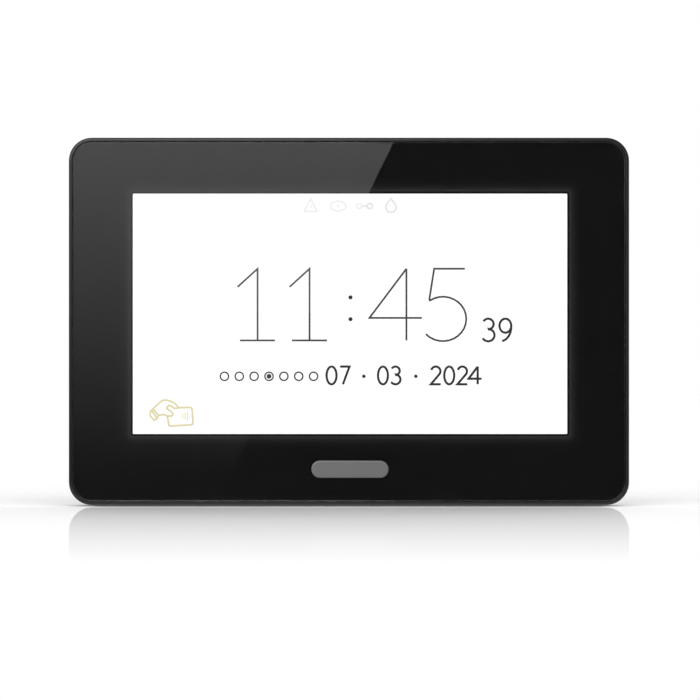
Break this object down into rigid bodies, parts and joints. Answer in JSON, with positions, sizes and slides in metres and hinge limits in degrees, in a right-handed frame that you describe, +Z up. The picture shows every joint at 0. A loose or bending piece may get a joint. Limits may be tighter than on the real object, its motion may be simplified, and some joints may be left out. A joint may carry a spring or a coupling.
{
  "type": "alarm keypad panel",
  "caption": "Wall-mounted touch-screen alarm keypad: black glass front unit hung on a screwed wall base, with release catches, tamper plunger, card and cable plug.",
  "frame": {"origin": "middle of the four wall screw slots, in the plane of the wall", "axes": "+X to the right as seen from the front, +Y into the wall, +Z up; the screen faces -Y"},
  "size_m": [0.196, 0.0222, 0.1288],
  "materials": {
    "black_housing": "glossy black moulded plastic",
    "base_plastic": "fine textured black plastic",
    "catch_plastic": "black plastic tongue",
    "cover_glass": "clear polished cover glass",
    "black_print": "black printed border behind the glass",
    "bonding_tape": "black foam bonding tape",
    "satin_silver": "satin silver, brushed lengthwise",
    "sensor_glass": "thin clear sensor glass",
    "black_foam": "black closed cell foam",
    "module_steel": "thin pressed steel",
    "lit_display": "lit white display face",
    "tray_plastic": "white reflective plastic tray",
    "diffuser_film": "milky film sheets",
    "guide_acrylic": "clear acrylic light guide",
    "amber_flex": "amber polyimide flexible circuit",
    "white_led": "white lamp packages",
    "bracket_steel": "zinc plated pressed steel",
    "screw_steel": "zinc plated screw steel",
    "standoff_brass": "turned brass",
    "circuit_board": "green solder mask over laminate",
    "chip_epoxy": "black moulding compound",
    "ferrite": "grey black ferrite",
    "capacitor_can": "plain aluminium can",
    "sounder_case": "black moulded case",
    "tinned_steel": "tin plated sheet",
    "connector_plastic": "natural nylon",
    "card_plastic": "black card body",
    "terminal_plastic": "green terminal plastic",
    "contact_metal": "tinned brass pins",
    "plunger_plastic": "white acetal plunger",
    "spring_steel": "spring wire",
    "cone_film": "pressed film cone",
    "magnet_metal": "nickel plated magnet",
    "blank_label": "blank silver label film"
  },
  "bodies": {
    "base": {"wall_base": "base_plastic", "rating_label": "blank_label"},
    "catch_left": {"catch_left": "catch_plastic"},
    "catch_right": {"catch_right": "catch_plastic"},
    "plunger": {"tamper_plunger": "plunger_plastic"},
    "card": {"memory_card": "card_plastic"},
    "plug": {"terminal_plug": "terminal_plastic", "terminal_screws": "screw_steel"},
    "front": {"antenna_connector": "connector_plastic", "backlight_leds": "white_led", "badge": "satin_silver", "board_bracket": "bracket_steel", "board_screws": "screw_steel", "board_standoffs": "standoff_brass", "bracket_screws": "screw_steel", "capacitors": "capacitor_can", "card_socket": "tinned_steel", "cover_glass": "cover_glass", "diffuser_sheets": "diffuser_film", "display_bezel": "module_steel", "display_cell": "lit_display", "display_flex": "amber_flex", "display_gasket": "black_foam", "display_tray": "tray_plastic", "front_frame": "black_housing", "glass_adhesive": "bonding_tape", "inductors": "ferrite", "lcd_connector": "connector_plastic", "led_strip": "amber_flex", "light_guide": "guide_acrylic", "main_board": "circuit_board", "mask_film": "black_print", "memory_chips": "chip_epoxy", "processor": "chip_epoxy", "reader_antenna": "amber_flex", "shield_can": "tinned_steel", "small_chips": "chip_epoxy", "sounder": "sounder_case", "speaker_cone": "cone_film", "speaker_connector": "connector_plastic", "speaker_frame": "sounder_case", "speaker_magnet": "magnet_metal", "tamper_spring": "spring_steel", "tamper_switch": "connector_plastic", "terminal_header": "terminal_plastic", "terminal_pins": "contact_metal", "touch_connector": "connector_plastic", "touch_flex": "amber_flex", "touch_sensor": "sensor_glass"}
  },
  "joints": [
    {"name": "front_swing", "type": "hinge", "parent": "base", "child": "front", "pos_m": [0, -0.0092, 0.0626], "axis": [-1, 0, 0], "range_deg": [0, 35], "deforming": ["catch_left", "catch_right"]},
    {"name": "catch_left_flex", "type": "hinge", "parent": "base", "child": "catch_left", "pos_m": [-0.055, -0.0025, -0.0577], "axis": [-1, 0, 0], "range_deg": [0, 8], "stiffness_Nm_per_rad": 0.05},
    {"name": "catch_right_flex", "type": "hinge", "parent": "base", "child": "catch_right", "pos_m": [0.055, -0.0025, -0.0577], "axis": [-1, 0, 0], "range_deg": [0, 8], "stiffness_Nm_per_rad": 0.05},
    {"name": "tamper_press", "type": "slide", "parent": "front", "child": "plunger", "axis": [0, 1, 0], "range_m": [-0.001, 0.0015], "stiffness_N_per_m": 200, "deforming": ["tamper_spring"]},
    {"name": "card_slide", "type": "slide", "parent": "front", "child": "card", "axis": [1, 0, 0], "range_m": [0, 0.012]},
    {"name": "plug_slide", "type": "slide", "parent": "front", "child": "plug", "axis": [0, 0, 1], "range_m": [0, 0.008]}
  ]
}
